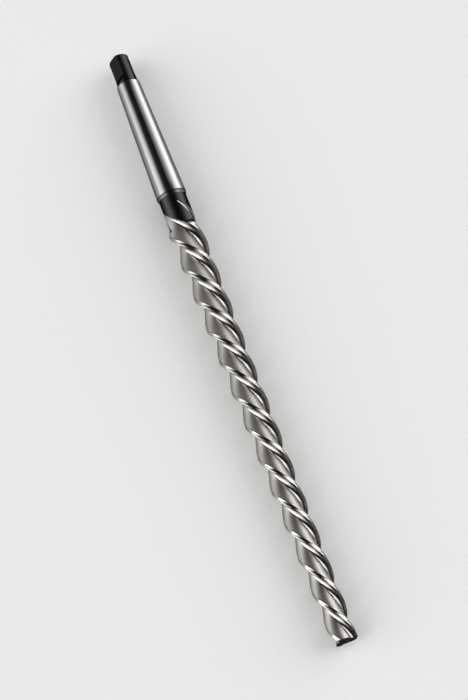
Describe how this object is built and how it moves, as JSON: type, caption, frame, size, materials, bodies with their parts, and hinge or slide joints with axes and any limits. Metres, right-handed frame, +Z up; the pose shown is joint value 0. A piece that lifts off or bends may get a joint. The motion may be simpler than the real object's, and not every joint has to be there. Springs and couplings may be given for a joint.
{
  "type": "machine taper pin reamer",
  "caption": "Long, slender reamer for tapered holes, with left-hand spiral flutes, a plain neck and a tapered shank that ends in a flat-sided driving tang.",
  "frame": {"origin": "on the surface that the tool lies on, under the centre of its bounding box", "axes": "+X along the tool toward its small cutting end, +Z up, away from the surface. The tool lies on the cone of its lands, so its own axis dips toward the small end by 0.573 degrees."},
  "size_m": [0.257, 0.0133, 0.0132],
  "materials": {
    "taper_reamer": "ground high-speed steel, bright on the shank, lands and flutes, black oxide left on the tang and the neck"
  },
  "bodies": {
    "root": {"taper_reamer": "taper_reamer"}
  },
  "joints": []
}
